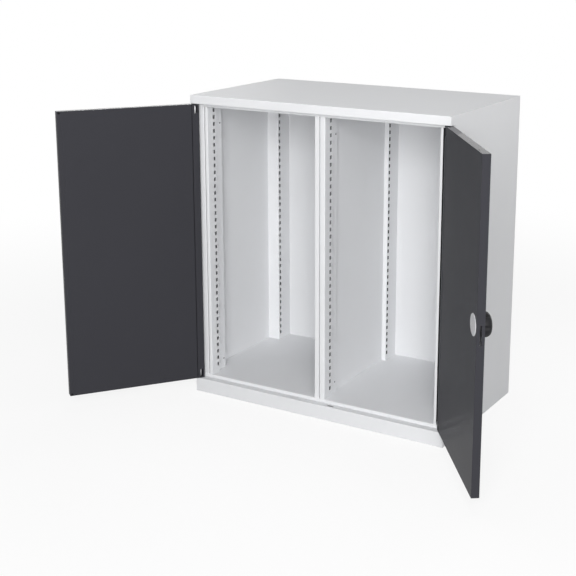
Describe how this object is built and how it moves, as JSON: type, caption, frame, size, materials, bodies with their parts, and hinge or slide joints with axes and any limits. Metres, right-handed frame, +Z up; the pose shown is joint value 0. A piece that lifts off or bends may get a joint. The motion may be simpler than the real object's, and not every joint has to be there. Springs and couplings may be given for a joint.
{
  "type": "heavy-duty cabinet",
  "caption": "Sheet-steel storage cabinet with swing doors on pin hinges, a partition between slotted uprights, and a rotary lock that drives rods up and down.",
  "frame": {"origin": "centre of the cabinet's footprint, on the floor", "axes": "+X to the right seen from the front, +Y to the back, +Z up"},
  "size_m": [1.5927, 0.9618, 1.1],
  "materials": {
    "body_paint": "light grey powder coat",
    "door_paint": "anthracite powder coat",
    "zinc_steel": "zinc plated",
    "knob_plastic": "fine grain",
    "cover_plastic": "smooth",
    "bush_plastic": "smooth",
    "rubber": "matt"
  },
  "bodies": {
    "carcass": {"back_panel": "body_paint", "base_front": "body_paint", "base_left_rail": "body_paint", "base_rear_rail": "body_paint", "base_right_rail": "body_paint", "floor_channel": "body_paint", "floor_panel": "body_paint", "hinge_bushes": "bush_plastic", "left_front_post": "body_paint", "left_side": "body_paint", "left_wall_front_upright": "body_paint", "left_wall_rear_upright": "body_paint", "partition_left": "body_paint", "partition_left_front_upright": "body_paint", "partition_left_rear_upright": "body_paint", "partition_right": "body_paint", "partition_right_front_upright": "body_paint", "partition_right_rear_upright": "body_paint", "right_front_post": "body_paint", "right_side": "body_paint", "right_wall_front_upright": "body_paint", "right_wall_rear_upright": "body_paint", "top_panel": "body_paint", "top_stop_rail": "body_paint"},
    "left_door": {"left_door_buffers": "rubber", "left_door_hinge_strip": "door_paint", "left_door_pan": "door_paint", "left_door_panel": "door_paint", "left_hinge_pins": "zinc_steel", "left_pin_brackets": "zinc_steel"},
    "right_door": {"lock_case": "zinc_steel", "lock_cover": "cover_plastic", "right_door_hinge_strip": "door_paint", "right_door_pan": "door_paint", "right_door_panel": "door_paint", "right_hinge_pins": "zinc_steel", "right_pin_brackets": "zinc_steel", "rod_guides": "zinc_steel"},
    "lock": {"lock_knob": "knob_plastic", "lock_spindle": "zinc_steel", "lock_cam": "zinc_steel"},
    "upper_rod": {"upper_rod": "zinc_steel"},
    "lower_rod": {"lower_rod": "zinc_steel"}
  },
  "joints": [
    {"name": "left_door_hinge", "type": "hinge", "parent": "carcass", "child": "left_door", "pos_m": [-0.489, -0.275, 0.56], "axis": [0, 0, -1], "range_deg": [-126.5, 53.5]},
    {"name": "right_door_hinge", "type": "hinge", "parent": "carcass", "child": "right_door", "pos_m": [0.489, -0.275, 0.56], "axis": [0, 0, 1], "range_deg": [-126.5, 53.5]},
    {"name": "knob_turn", "type": "hinge", "parent": "right_door", "child": "lock", "pos_m": [0.75518, -0.63473, 0.57], "axis": [0.8039, 0.5948, 0], "range_deg": [-90, 0]},
    {"name": "upper_rod_slide", "type": "slide", "parent": "right_door", "child": "upper_rod", "axis": [0, 0, 1], "range_m": [0, 0.01613]},
    {"name": "lower_rod_slide", "type": "slide", "parent": "right_door", "child": "lower_rod", "axis": [0, 0, -1], "range_m": [0, 0.01613]}
  ],
  "couplings": [
    {"joint": "upper_rod_slide", "follows": "knob_turn", "m_per_rad": -0.010264},
    {"joint": "lower_rod_slide", "follows": "knob_turn", "m_per_rad": -0.010264}
  ]
}
